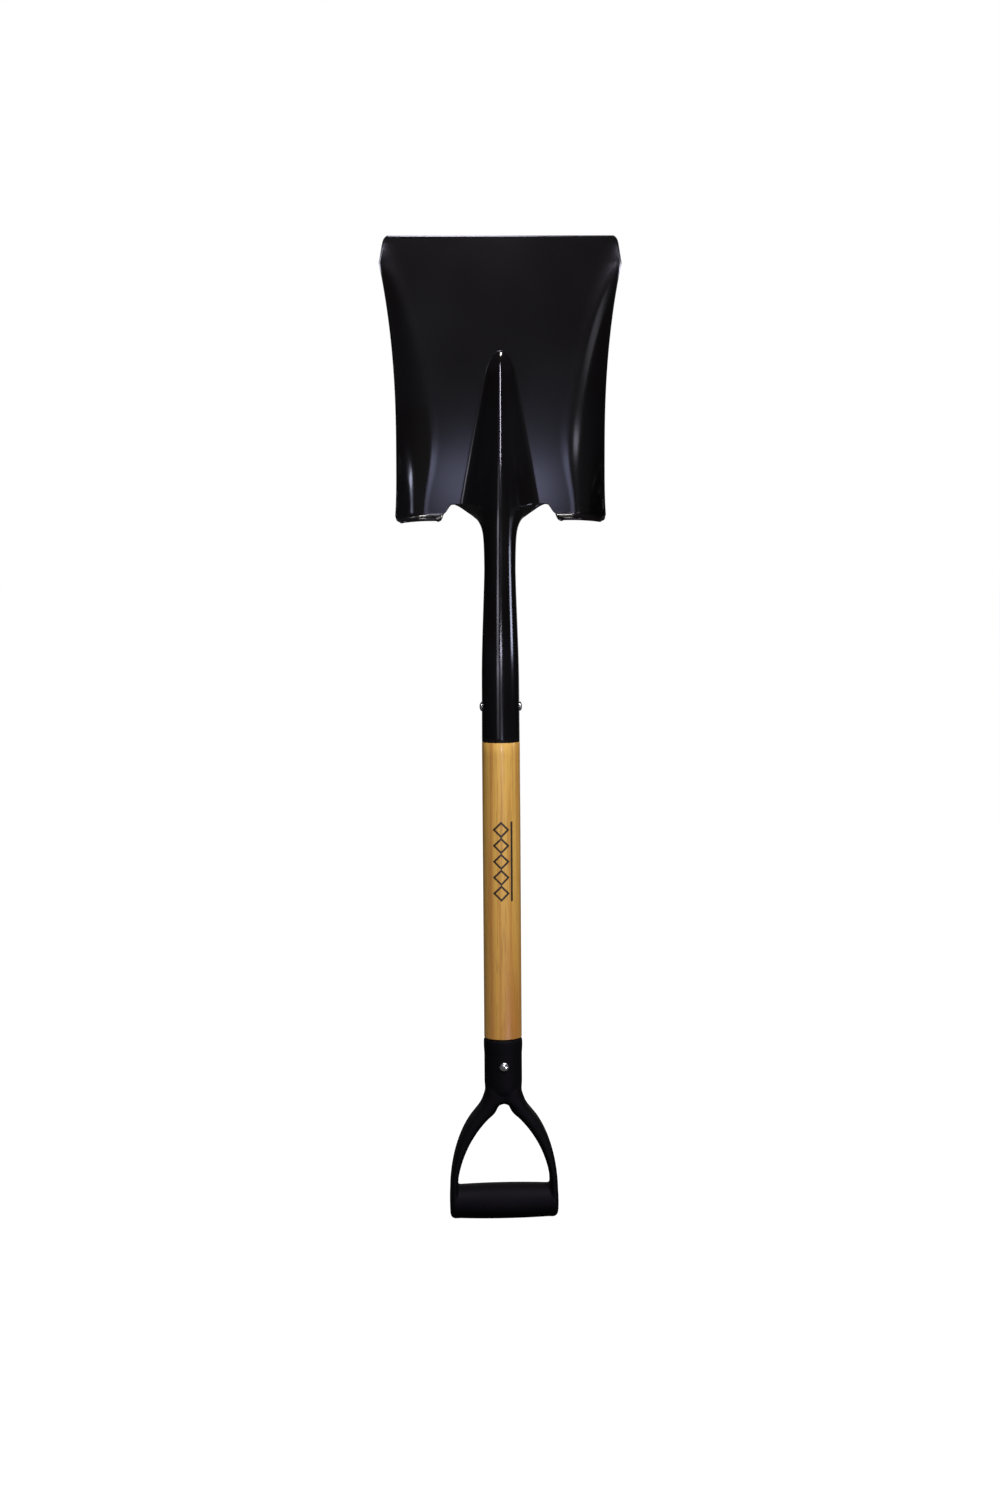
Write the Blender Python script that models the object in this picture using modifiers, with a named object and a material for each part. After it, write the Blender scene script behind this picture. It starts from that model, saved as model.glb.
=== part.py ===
"""Square-mouth D-handle shovel: pressed steel head, wooden shaft and moulded D-grip.

The frame is metres with +Z up the shaft towards the blade, -Y on the scoop side and X across.
The origin is the centre of the hand bar, on the shaft's axis. Sizes below are millimetres.
"""

import math

import bmesh
import bpy
from mathutils import Matrix, Vector

MM = 0.001
WELD = 0.000005
FIT_GAP = 0.3
ROUND_SEGMENTS = 32

# Sheet of the head
SHEET = 2.0
SOCKET_MOUTH_Z = 469.7
SOCKET_MOUTH_R = 19.0
NECK_R = 15.4
BEND_START_Z = 560.0
BEND_LENGTH = 130.0
LIFT = math.radians(11.0)
PAN_BEHIND_AXIS = 12.0
SEAM_HALF_GAP = 0.8

# Pan, measured along the blade from the start of the treads' bend
PAN_START_Q = 225.5
PAN_LENGTH = 270.0
PAN_SAG = 3.0
WAIST_HALF_WIDTH = 101.2
WIDEST_S = 244.0
WIDEST_HALF_WIDTH = 116.7
CORNER_HALF_WIDTH = 108.7
WALL_HEIGHT = 25.0
WALL_FOOT = 48.0
WALL_FOOT_REAR = 22.0
WALL_FOOT_FRONT = 50.0

# Frog, the raised ridge that carries the socket into the pan
FROG_HEIGHT = 26.4
FROG_END_HEIGHT = 7.0
FROG_HALF_WIDTH = 41.0
FROG_NARROWING = 0.185
FROG_NOSE_S = 136.0
FROG_TIP_S = 159.0
CREST_EASE = 60.0

# Relief notches and forward-turned treads
NOTCH_X = 44.0
NOTCH_S = 8.7
NOTCH_FLOOR_X = 47.0
NOTCH_SIDE_X = 55.0
TREAD_ROLL_X = 53.7
TREAD_FLAT_X = 62.7
TREAD_STATIONS = (44.0, 47.0, 49.6, 52.0, 54.6, 57.0, 59.6, 62.7, 67.0, 74.0, 81.0, 88.0, 94.5, 99.5, 102.8)
TREAD_BEND_R = 4.0
TREAD_DEPTH = 9.5
TREAD_END_DEPTH = 4.0

# Shaft
SHAFT_R = 19.0
SHAFT_MOUTH_R = 16.6
SHAFT_TIP_R = 12.6
SHAFT_TIP_Z = 598.0
TENON_R = 14.0
TENON_END_Z = 121.0

# D-grip
COLLAR_TOP_Z = 168.9
COLLAR_RIM_R = 19.6
COLLAR_WAIST_R = 19.1
GRIP_HALF_WIDTH = 54.9
GRIP_DEPTH = 17.5
BAR_R = 18.3
BAR_END_R = 17.2
BAR_HALF_LENGTH = 46.8
BAR_CAP_ROUND = 5.5
ARM_OUTER_CENTRE_Z = 9.5
ARM_OUTER_SEMI_Z = 99.8
ARM_INNER_CENTRE = (-64.5, 7.1)
ARM_INNER_R = 112.3

# Rivets
RIVET_R = 2.4
RIVET_HEAD_R = 4.7
RIVET_HEAD_HEIGHT = 2.3
SOCKET_RIVET_Z = 504.6
GRIP_RIVET_Z = 142.4
WASHER_R = 6.4
WASHER_THICKNESS = 1.2

parts = None
cutters = None


def clear_scene():
    """Empty the file of objects and collections."""
    for item in list(bpy.data.objects):
        bpy.data.objects.remove(item, do_unlink=True)
    for group in list(bpy.data.collections):
        bpy.data.collections.remove(group)


def new_collection(name):
    group = bpy.data.collections.new(name)
    bpy.context.scene.collection.children.link(group)
    return group


def material(name, colour, roughness, metallic=0.0):
    finish = bpy.data.materials.new(name)
    finish.use_nodes = True
    shader = finish.node_tree.nodes["Principled BSDF"]
    shader.inputs["Base Color"].default_value = (*colour, 1.0)
    shader.inputs["Roughness"].default_value = roughness
    shader.inputs["Metallic"].default_value = metallic
    return finish


def smoothstep(low, high, value):
    t = min(max((value - low) / (high - low), 0.0), 1.0)
    return t * t * (3.0 - 2.0 * t)


def mix(a, b, t):
    return a + (b - a) * t


def place(group, name, mesh, finish):
    """Put a mesh given in millimetres into the scene as one object in metres."""
    mesh.transform(Matrix.Scale(MM, 4))
    mesh.materials.append(finish)
    thing = bpy.data.objects.new(name, mesh)
    group.objects.link(thing)
    return thing


def mesh_from(name, bm):
    mesh = bpy.data.meshes.new(name)
    bm.to_mesh(mesh)
    bm.free()
    return mesh


def smooth(thing, degrees=35.0):
    thing.data.shade_smooth()
    thing.data.set_sharp_from_angle(angle=math.radians(degrees))


def evaluated_copy(thing, name):
    """Replace an object by a mesh object that holds the result of its modifiers."""
    graph = bpy.context.evaluated_depsgraph_get()
    mesh = bpy.data.meshes.new_from_object(thing.evaluated_get(graph))
    group = thing.users_collection[0]
    place_matrix = thing.matrix_world.copy()
    bpy.data.objects.remove(thing, do_unlink=True)
    bm = bmesh.new()
    bm.from_mesh(mesh)
    bmesh.ops.remove_doubles(bm, verts=bm.verts, dist=WELD)
    bm.to_mesh(mesh)
    bm.free()
    copy = bpy.data.objects.new(name, mesh)
    copy.matrix_world = place_matrix
    group.objects.link(copy)
    return copy


def turned(group, name, profile, finish, along="Z", segments=ROUND_SEGMENTS):
    """Turn a closed profile of (radius, height) points, top to bottom on its outer side."""
    bm = bmesh.new()
    points = [bm.verts.new((radius, 0.0, height)) for radius, height in profile]
    for a, b in zip(points, points[1:]):
        bm.edges.new((a, b))
    thing = place(group, name, mesh_from(name, bm), finish)
    screw = thing.modifiers.new("turn", "SCREW")
    screw.angle = 2.0 * math.pi
    screw.steps = segments
    screw.render_steps = segments
    screw.use_merge_vertices = True
    screw.merge_threshold = 0.00001
    thing = evaluated_copy(thing, name)
    thing.data.transform(Matrix.Rotation(math.pi / segments, 4, "Z"))
    if along == "X":
        thing.data.transform(Matrix.Rotation(math.pi / 2.0, 4, "Y"))
    if along == "Y":
        thing.data.transform(Matrix.Rotation(math.pi / 2.0, 4, "X"))
    return thing


def boolean(thing, operand, operation="DIFFERENCE"):
    cut = thing.modifiers.new(operand.name, "BOOLEAN")
    cut.operation = operation
    cut.solver = "EXACT"
    cut.object = operand


def cutter(name, radius, low, high, centre, along, finish):
    """A round drill along one axis, through the centre point given in millimetres."""
    profile = [(0.0, high), (radius, high), (radius, low), (0.0, low)]
    tool = turned(cutters, name, profile, finish, along, 16)
    tool.location = Vector(centre) * MM
    tool.hide_render = True
    tool.display_type = "WIRE"
    return tool


# Head


def socket_radius(q):
    """Outer radius of the socket and neck at a distance q up the centre line from its mouth."""
    swage = SOCKET_MOUTH_R - NECK_R - 0.8
    return NECK_R + swage * (1.0 - smoothstep(60.0, 190.0, q)) + 0.8 * max(0.0, 1.0 - q / 190.0)


def centre_line(q):
    """Point and forward tilt of the head's centre line, straight, then bent forward by the lift."""
    straight = BEND_START_Z - SOCKET_MOUTH_Z
    radius = BEND_LENGTH / LIFT
    if q <= straight:
        return 0.0, SOCKET_MOUTH_Z + q, 0.0
    tilt = min((q - straight) / radius, LIFT)
    rest = max(q - straight - BEND_LENGTH, 0.0)
    y = -radius * (1.0 - math.cos(tilt)) - rest * math.sin(tilt)
    z = BEND_START_Z + radius * math.sin(tilt) + rest * math.cos(tilt)
    return y, z, tilt


def head_point(x, q, height):
    """World point at x across, q along and height above the pan's floor on the scoop side."""
    y, z, tilt = centre_line(q)
    offset = height - PAN_BEHIND_AXIS
    return Vector((x, y - offset * math.cos(tilt), z - offset * math.sin(tilt)))


def half_width(s):
    """Half width of the blade at a distance s along the pan."""
    rear_flare = 2.0 * max((70.0 - s) / 74.0, 0.0) ** 4
    flare = max((s - 70.0) / (WIDEST_S - 70.0), 0.0)
    if s <= WIDEST_S:
        return WAIST_HALF_WIDTH + rear_flare + (WIDEST_HALF_WIDTH - WAIST_HALF_WIDTH) * flare ** 2.35
    t = (s - WIDEST_S) / (PAN_LENGTH - WIDEST_S)
    slope = 4.6
    round_off = WIDEST_HALF_WIDTH - CORNER_HALF_WIDTH - slope
    return WIDEST_HALF_WIDTH - slope * t - round_off * t ** 12


def crest_fall(s):
    """Fall of the crest below the frog's rear height: it begins gently in the neck, then runs straight."""
    slope = (FROG_HEIGHT - FROG_END_HEIGHT) / FROG_NOSE_S
    if s >= CREST_EASE:
        return slope * s
    return slope * max(s + CREST_EASE, 0.0) ** 2 / (4.0 * CREST_EASE)


def frog_height(s):
    """Height of the frog's crest above the pan's floor."""
    t = min(max((s - FROG_NOSE_S) / (FROG_TIP_S - FROG_NOSE_S), 0.0), 1.0)
    return (FROG_HEIGHT - crest_fall(s)) * (1.0 - t ** 7)


def frog_half_width(s):
    t = min(max((s - FROG_NOSE_S) / (FROG_TIP_S - FROG_NOSE_S), 0.0), 0.98)
    return (FROG_HALF_WIDTH - FROG_NARROWING * max(s, 0.0)) * math.sqrt(1.0 - t * t)


def pan_height(x, s):
    """Height of the sheet's middle above the pan's floor: sag, frog and side walls."""
    along = min(max(s / PAN_LENGTH, 0.0), 1.0)
    sag = PAN_SAG * along * along
    t = min(abs(x) / frog_half_width(s), 1.0)
    frog = frog_height(s) * (1.0 - t) ** 2 * (1.0 + 2.0 * t)
    foot = WALL_FOOT + WALL_FOOT_REAR * math.exp(-((s / 55.0) ** 2)) + WALL_FOOT_FRONT * along ** 1.6
    edge = max(half_width(s), foot + 1.0)
    rise = min(max((abs(x) - foot) / (edge - foot), 0.0), 1.0)
    wall = WALL_HEIGHT * max(1.0 - s / (PAN_LENGTH - 6.0), 0.0) ** 1.1 * rise ** 2.5
    return sag + frog + wall


def free_edge_x(q):
    """Half width of the opened socket sheet, from its seam out to the relief notch."""
    drop = max(PAN_START_Q + NOTCH_S - q, 0.0)
    seam_vee = 9.0 * max(1.0 - drop / 70.0, 0.0)
    notch_round = 7.0 * math.exp(-drop / 3.0)
    flank = (NOTCH_X - 16.0) * math.exp(-((drop / 18.0) ** 2))
    return max(seam_vee + notch_round + flank, SEAM_HALF_GAP)


def middle_point(column, q):
    """Sheet point of the middle block: column 0 is the crest, 1 and -1 the free edges."""
    side = abs(column)
    s = q - PAN_START_Q
    opened = (free_edge_x(q) - SEAM_HALF_GAP) / (NOTCH_X - SEAM_HALF_GAP)
    radius = socket_radius(q) - SHEET / 2.0
    angle = side * (math.pi - SEAM_HALF_GAP / radius)
    flat_x = NOTCH_X * side
    x = mix(radius * math.sin(angle), flat_x, opened)
    rolled = PAN_BEHIND_AXIS + radius * math.cos(angle) - crest_fall(s)
    height = mix(rolled, pan_height(flat_x, s), opened)
    return head_point(math.copysign(x, column), q, height)


def middle_rows():
    """Stations along the head, close together at the notch and at the frog's nose."""
    notch_q = PAN_START_Q + NOTCH_S
    socket = [0.0, 28.0, 56.0, 80.0, 100.0, 116.0, 130.0, 144.0, 156.0, 168.0, 180.0, 191.0, 200.0]
    throat = [notch_q - drop for drop in (27.0, 21.0, 16.0, 11.5, 7.5, 4.2, 1.8)]
    pan = [0.0, 6.0, 14.0, 24.0, 36.0, 48.0, 60.0, 72.0, 84.0, 96.0, 108.0, 118.0, 127.0]
    nose = [133.0, 138.0, 142.5, 146.5, 150.5, 155.0]
    front = [168.0, 186.0, 204.0, 220.0, 235.3, 245.0, 253.0, 258.5, 261.3]
    return socket + throat, [notch_q + step for step in pan + nose + front]


def tread_bend_start(x):
    """Where the tread's bend starts at x across; it climbs round the notch and at the outer corner."""
    outer = half_width(0.0)
    notch = NOTCH_S * (1.0 - smoothstep(NOTCH_FLOOR_X, NOTCH_SIDE_X, x))
    corner = 3.0 * smoothstep(outer - 7.0, outer, x) ** 2
    return notch + corner


def outer_point(side, across, q, rolled=0.0, flange=0.0):
    """Sheet point of an outer block; rolled turns the rear edge forward, flange runs along it."""
    s = q - PAN_START_Q
    rear_x = mix(NOTCH_X, TREAD_STATIONS[-1], across)
    rear_s = tread_bend_start(rear_x)
    share = (PAN_LENGTH - s) / (PAN_LENGTH - NOTCH_S)
    s = PAN_LENGTH - (PAN_LENGTH - rear_s) * share
    x = mix(NOTCH_X, half_width(s), across)
    height = pan_height(x, s)
    turned_out = smoothstep(TREAD_ROLL_X, TREAD_FLAT_X, x)
    angle = rolled * turned_out * math.pi / 2.0
    reach = mix(TREAD_DEPTH, TREAD_END_DEPTH, smoothstep(82.0, 101.0, x)) * turned_out * flange
    s -= TREAD_BEND_R * math.sin(angle) + reach * math.cos(angle)
    height += TREAD_BEND_R * (1.0 - math.cos(angle)) + reach * math.sin(angle)
    x -= 1.6 * smoothstep(96.0, 103.0, x) * (rolled + flange)
    return head_point(side * x, PAN_START_Q + s, height)


def add_grid(bm, rows):
    """Join rows of points into quads, rows running forward and points running to +X."""
    verts = [[bm.verts.new(point) for point in row] for row in rows]
    for lower, upper in zip(verts, verts[1:]):
        for i in range(len(lower) - 1):
            bm.faces.new((lower[i], lower[i + 1], upper[i + 1], upper[i]))


def shovel_head(finish):
    """One sheet of steel: rolled socket, frog, pan, side walls, notches and treads."""
    socket_rows, pan_rows = middle_rows()
    columns = [i / 11.0 for i in range(-11, 12)]
    across = [(x - NOTCH_X) / (TREAD_STATIONS[-1] - NOTCH_X) for x in TREAD_STATIONS]
    bm = bmesh.new()
    add_grid(bm, [[middle_point(c, q) for c in columns] for q in socket_rows + pan_rows])
    bends = [(1.0, 1.0), (1.0, 0.5), (1.0, 0.0), (0.66, 0.0), (0.33, 0.0)]
    for side in (-1.0, 1.0):
        steps = across if side > 0.0 else across[::-1]
        tread = [[outer_point(side, a, pan_rows[0], *bend) for a in steps] for bend in bends]
        blade = [[outer_point(side, a, q) for a in steps] for q in pan_rows]
        add_grid(bm, tread + blade)
    bmesh.ops.remove_doubles(bm, verts=bm.verts, dist=0.02)
    bmesh.ops.dissolve_degenerate(bm, dist=0.02, edges=bm.edges)
    head = place(parts, "shovel_head", mesh_from("shovel_head", bm), finish)
    solidify = head.modifiers.new("sheet", "SOLIDIFY")
    solidify.thickness = SHEET * MM
    solidify.offset = 0.0
    solidify.use_even_offset = True
    smooth(head, 50.0)
    return head


# Shaft


def shaft(finish):
    shoulder = COLLAR_TOP_Z + FIT_GAP
    mouth = SOCKET_MOUTH_Z - FIT_GAP
    profile = [
        (0.0, SHAFT_TIP_Z),
        (SHAFT_TIP_R - 3.0, SHAFT_TIP_Z),
        (SHAFT_TIP_R, SHAFT_TIP_Z - 3.0),
        (SHAFT_MOUTH_R, mouth),
        (SHAFT_R, mouth),
        (SHAFT_R, shoulder),
        (TENON_R, shoulder),
        (TENON_R, TENON_END_Z + 2.0),
        (TENON_R - 2.0, TENON_END_Z),
        (0.0, TENON_END_Z),
    ]
    pole = turned(parts, "shaft", profile, finish)
    smooth(pole)
    return pole


# Grip


def ring_face(bm, ring, flip):
    bm.faces.new(ring[::-1] if flip else ring)


def loft(name, sections, finish):
    """Join closed sections of equal point count into one capped body."""
    bm = bmesh.new()
    rings = [[bm.verts.new(point) for point in section] for section in sections]
    for lower, upper in zip(rings, rings[1:]):
        count = len(lower)
        for i in range(count):
            j = (i + 1) % count
            bm.faces.new((lower[i], lower[j], upper[j], upper[i]))
    ring_face(bm, rings[0], True)
    ring_face(bm, rings[-1], False)
    bmesh.ops.recalc_face_normals(bm, faces=bm.faces)
    return place(cutters, name, mesh_from(name, bm), finish)


def arm_section(outer, inner, depth, count=20, squareness=0.75):
    """Rounded section between an outer and an inner point of the D, as deep as the grip."""
    middle = (outer + inner) / 2.0
    reach = (outer - inner) / 2.0
    points = []
    for i in range(count):
        angle = 2.0 * math.pi * i / count
        c, s = math.cos(angle), math.sin(angle)
        along = math.copysign(abs(c) ** squareness, c)
        out = math.copysign(abs(s) ** squareness, s)
        points.append(middle + reach * along + Vector((0.0, depth * out, 0.0)))
    return points


def grip_arm(name, side, finish):
    """One arm of the D, from inside the collar round to the end of the hand bar."""
    pairs = [((17.5, 120.0), (-8.0, 104.0)), ((19.8, 110.5), (-3.0, 102.4)), ((23.6, 101.3), (4.0, 100.2))]
    steps = 10
    for i in range(steps + 1):
        psi = math.radians(mix(58.0, -5.0, i / steps))
        omega = math.radians(mix(49.5, 0.0, i / steps))
        outer = (GRIP_HALF_WIDTH * math.cos(psi), ARM_OUTER_CENTRE_Z + ARM_OUTER_SEMI_Z * math.sin(psi))
        inner_x = ARM_INNER_CENTRE[0] + ARM_INNER_R * math.cos(omega)
        inner_z = ARM_INNER_CENTRE[1] + ARM_INNER_R * math.sin(omega)
        pairs.append((outer, (min(inner_x, BAR_HALF_LENGTH - 0.2), inner_z)))
    sections = []
    for (outer_x, outer_z), (inner_x, inner_z) in pairs:
        outer = Vector((side * outer_x, 0.0, outer_z))
        inner = Vector((side * inner_x, 0.0, inner_z))
        sections.append(arm_section(outer, inner, GRIP_DEPTH - 0.4))
    return loft(name, sections, finish)


def hand_bar_profile():
    """Half profile of the crowned bar with its round end caps, as (radius, distance) points."""
    profile = [(0.0, GRIP_HALF_WIDTH)]
    for i in range(4):
        angle = math.pi / 2.0 * i / 3.0
        radius = GRIP_DEPTH - BAR_CAP_ROUND + BAR_CAP_ROUND * math.sin(angle)
        profile.append((radius, GRIP_HALF_WIDTH - BAR_CAP_ROUND * (1.0 - math.cos(angle))))
    profile.append((GRIP_DEPTH, BAR_HALF_LENGTH + 0.5))
    steps = 8
    for i in range(steps + 1):
        t = mix(1.0, -1.0, i / steps)
        crown = mix(BAR_R, BAR_END_R, t * t)
        profile.append((crown, BAR_HALF_LENGTH * 0.98 * t))
    mirrored = [(radius, -distance) for radius, distance in profile[:6][::-1]]
    return profile + mirrored


def d_grip(finish):
    """Collar, two arms and crowned hand bar moulded as one piece, with a blind bore."""
    bore_r = TENON_R + FIT_GAP
    bore_floor = TENON_END_Z - FIT_GAP
    collar_profile = [
        (0.0, bore_floor),
        (bore_r, bore_floor),
        (bore_r, COLLAR_TOP_Z),
        (COLLAR_RIM_R - 1.2, COLLAR_TOP_Z),
        (COLLAR_RIM_R, COLLAR_TOP_Z - 1.2),
        (COLLAR_RIM_R, COLLAR_TOP_Z - 9.0),
        (COLLAR_WAIST_R, COLLAR_TOP_Z - 16.0),
        (COLLAR_WAIST_R, 124.0),
        (COLLAR_WAIST_R - 0.6, 115.0),
        (COLLAR_WAIST_R - 3.2, 109.0),
        (COLLAR_WAIST_R - 8.0, 105.6),
        (0.0, 104.4),
    ]
    grip = turned(parts, "d_grip", collar_profile, finish)
    bar = turned(cutters, "hand_bar", hand_bar_profile(), finish, "X")
    arms = [grip_arm("arm_left", -1.0, finish), grip_arm("arm_right", 1.0, finish)]
    for piece in [bar] + arms:
        piece.hide_render = True
        piece.display_type = "WIRE"
        boolean(grip, piece, "UNION")
    smooth(grip, 40.0)
    return grip


# Rivets


def rivet_profile(half_span, tail_extra):
    """Domed head, shank and domed tail, from the head's top down to the tail's end."""
    profile = [(0.0, half_span + RIVET_HEAD_HEIGHT)]
    steps = 4
    for i in range(1, steps + 1):
        angle = math.pi / 2.0 * i / steps
        radius = RIVET_HEAD_R * math.sin(angle)
        profile.append((radius, half_span + RIVET_HEAD_HEIGHT * math.cos(angle)))
    profile.append((RIVET_R, half_span))
    tail = half_span + tail_extra
    profile.append((RIVET_R, -tail))
    for i in range(steps, 0, -1):
        angle = math.pi / 2.0 * i / steps
        radius = RIVET_HEAD_R * math.sin(angle)
        profile.append((radius, -tail - (RIVET_HEAD_HEIGHT - 0.3) * math.cos(angle)))
    profile.append((0.0, -tail - RIVET_HEAD_HEIGHT + 0.3))
    return profile


def rivet(name, half_span, tail_extra, centre, along, finish):
    pin = turned(parts, name, rivet_profile(half_span, tail_extra), finish, along, 24)
    pin.location = Vector(centre) * MM
    smooth(pin)
    return pin


def grip_washer(finish):
    """Flat burr behind the collar, under the peened tail of the grip's rivet."""
    near = COLLAR_WAIST_R + FIT_GAP
    far = near + WASHER_THICKNESS
    bore = RIVET_R + FIT_GAP
    profile = [(bore, far), (WASHER_R - 0.3, far), (WASHER_R, far - 0.3), (WASHER_R, near), (bore, near), (bore, far)]
    ring = turned(parts, "grip_rivet_washer", profile, finish, "Y", 24)
    ring.data.transform(Matrix.Rotation(math.pi, 4, "X"))
    ring.location = Vector((0.0, 0.0, GRIP_RIVET_Z)) * MM
    smooth(ring)
    return ring


def drill(thing, name, centre, along, finish):
    """Clear a rivet's shank through a piece."""
    tool = cutter(name, RIVET_R + FIT_GAP, -30.0, 30.0, centre, along, finish)
    boolean(thing, tool)


def main():
    global parts, cutters
    clear_scene()
    parts = new_collection("square_mouth_shovel")
    cutters = new_collection("cutters")
    paint = material("black_paint", (0.012, 0.012, 0.014), 0.32)
    wood = material("ash_wood", (0.62, 0.42, 0.19), 0.42)
    plastic = material("black_plastic", (0.014, 0.013, 0.016), 0.48)
    steel = material("rivet_steel", (0.62, 0.61, 0.60), 0.28, 1.0)
    head = shovel_head(paint)
    pole = shaft(wood)
    grip = d_grip(plastic)
    socket_hole = (0.0, 0.0, SOCKET_RIVET_Z)
    grip_hole = (0.0, 0.0, GRIP_RIVET_Z)
    drill(head, "socket_drill", socket_hole, "X", paint)
    drill(pole, "shaft_drill", socket_hole, "X", wood)
    drill(pole, "tenon_drill", grip_hole, "Y", wood)
    drill(grip, "collar_drill", grip_hole, "Y", plastic)
    socket_span = socket_radius(SOCKET_RIVET_Z - SOCKET_MOUTH_Z) + FIT_GAP
    rivet("socket_rivet", socket_span, 0.0, socket_hole, "X", steel)
    washer_stack = WASHER_THICKNESS + FIT_GAP
    rivet("grip_rivet", COLLAR_WAIST_R + FIT_GAP, washer_stack, grip_hole, "Y", steel)
    grip_washer(steel)


main()
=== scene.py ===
"""Square-mouth D-handle shovel with its finishes, set up in a plain studio.

The pieces are sized in millimetres and the studio in metres, in the frame's own axes: +Z up the
shaft towards the blade, -Y on the scoop side and X across, with the origin at the centre of the
hand bar.
"""

import logging
import math
from collections.abc import Callable
from dataclasses import dataclass
from enum import Enum

import bpy
from mathutils import Matrix, Vector


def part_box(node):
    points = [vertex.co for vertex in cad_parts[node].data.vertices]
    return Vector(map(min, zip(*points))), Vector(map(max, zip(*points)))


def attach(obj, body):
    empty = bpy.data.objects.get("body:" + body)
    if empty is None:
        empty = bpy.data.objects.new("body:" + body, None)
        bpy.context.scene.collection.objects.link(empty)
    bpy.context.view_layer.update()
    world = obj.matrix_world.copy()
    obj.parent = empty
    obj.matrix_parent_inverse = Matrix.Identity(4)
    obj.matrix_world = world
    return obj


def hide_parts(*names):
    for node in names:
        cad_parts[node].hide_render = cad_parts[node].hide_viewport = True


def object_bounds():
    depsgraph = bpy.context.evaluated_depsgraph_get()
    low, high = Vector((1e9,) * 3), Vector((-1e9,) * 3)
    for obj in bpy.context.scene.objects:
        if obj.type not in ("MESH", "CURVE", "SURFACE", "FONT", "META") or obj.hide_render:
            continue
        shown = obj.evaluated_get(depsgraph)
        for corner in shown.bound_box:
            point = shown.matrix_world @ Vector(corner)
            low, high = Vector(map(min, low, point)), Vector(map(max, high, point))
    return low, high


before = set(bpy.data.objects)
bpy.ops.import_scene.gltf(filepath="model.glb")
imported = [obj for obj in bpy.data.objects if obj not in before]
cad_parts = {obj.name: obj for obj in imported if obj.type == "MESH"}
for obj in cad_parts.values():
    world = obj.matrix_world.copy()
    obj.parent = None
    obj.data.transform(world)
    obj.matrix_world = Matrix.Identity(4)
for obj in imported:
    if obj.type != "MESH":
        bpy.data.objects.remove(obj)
CAD_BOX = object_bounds()

MM = 0.001
FINE_WELD = 0.001
log = logging.getLogger("shovel")

Point = tuple[float, float]
Place = tuple[float, float, float]
Colour = tuple[float, float, float]
Piece = bpy.types.Object
Socket = bpy.types.NodeSocket


class Slot(Enum):
    """Material slots of the part's record."""

    PAINT = "black_paint"
    WOOD = "lacquered_wood"
    PLASTIC = "black_plastic"
    STEEL = "rivet_steel"


class Axis(Enum):
    """Axes that a turned piece can lie along, with the turn that brings +Z there."""

    X = "X"
    Y = "Y"
    Z = "Z"

    def turn(self) -> Matrix:
        """Give the rotation from +Z to this axis."""
        if self is Axis.X:
            return Matrix.Rotation(math.pi / 2.0, 4, "Y")
        if self is Axis.Y:
            return Matrix.Rotation(math.pi / 2.0, 4, "X")
        return Matrix.Identity(4)


# Arithmetic of shapes


def smoothstep(low: float, high: float, value: float) -> float:
    """Ease from 0 at low to 1 at high."""
    t = min(max((value - low) / (high - low), 0.0), 1.0)
    return t * t * (3.0 - 2.0 * t)


def mix(a: float, b: float, t: float) -> float:
    """Give the value a share t of the way from a to b."""
    return a + (b - a) * t


def spline(points: list[Vector], t: float) -> Vector:
    """Read a smooth curve that passes through every point.

    Args:
        points: The points on the curve, in order.
        t: The place along it, 0 at the first point and 1 at the last.

    Returns:
        The point of the curve there.
    """
    spans = len(points) - 1
    i = min(int(t * spans), spans - 1)
    f = t * spans - i
    before = points[max(i - 1, 0)]
    a, b = points[i], points[i + 1]
    after = points[min(i + 2, spans)]
    bend = (2.0 * before - 5.0 * a + 4.0 * b - after) * f * f
    twist = (3.0 * a - before - 3.0 * b + after) * f * f * f
    return (2.0 * a + (b - before) * f + bend + twist) * 0.5


# Bench work: the mesh tools that every piece is made with


def start_clean() -> None:
    """Leave edit mode and select nothing."""
    if bpy.context.mode != "OBJECT":
        bpy.ops.object.mode_set(mode="OBJECT")
    bpy.ops.object.select_all(action="DESELECT")


def pick(piece: Piece) -> None:
    """Make one object the only one selected, and the active one."""
    start_clean()
    piece.select_set(True)
    bpy.context.view_layer.objects.active = piece


def tidy_mesh(piece: Piece, weld: float) -> None:
    """Merge the points of a mesh that meet, drop collapsed faces and face the rest outwards.

    Args:
        piece: The mesh object.
        weld: The distance in millimetres within which points meet.
    """
    pick(piece)
    bpy.ops.object.mode_set(mode="EDIT")
    bpy.ops.mesh.select_all(action="SELECT")
    bpy.ops.mesh.remove_doubles(threshold=weld * MM)
    bpy.ops.mesh.dissolve_degenerate(threshold=weld * MM)
    bpy.ops.mesh.normals_make_consistent(inside=False)
    bpy.ops.object.mode_set(mode="OBJECT")


def formed_sheet(name: str, across: int, along: int, shape: Callable[[float, float], Vector]) -> Piece:
    """Form a flat grid into a curved sheet.

    Args:
        name: The object's name.
        across: The number of faces across the sheet.
        along: The number of faces along it.
        shape: Gives a point in millimetres for a place across and along, each 0 to 1.

    Returns:
        The sheet.
    """
    start_clean()
    bpy.ops.mesh.primitive_grid_add(x_subdivisions=across, y_subdivisions=along, size=2.0)
    sheet = bpy.context.active_object
    sheet.name = name
    for vert in sheet.data.vertices:
        u = round((vert.co.x + 1.0) / 2.0 * across) / across
        v = round((vert.co.y + 1.0) / 2.0 * along) / along
        vert.co = shape(u, v) * MM
    return sheet


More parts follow.
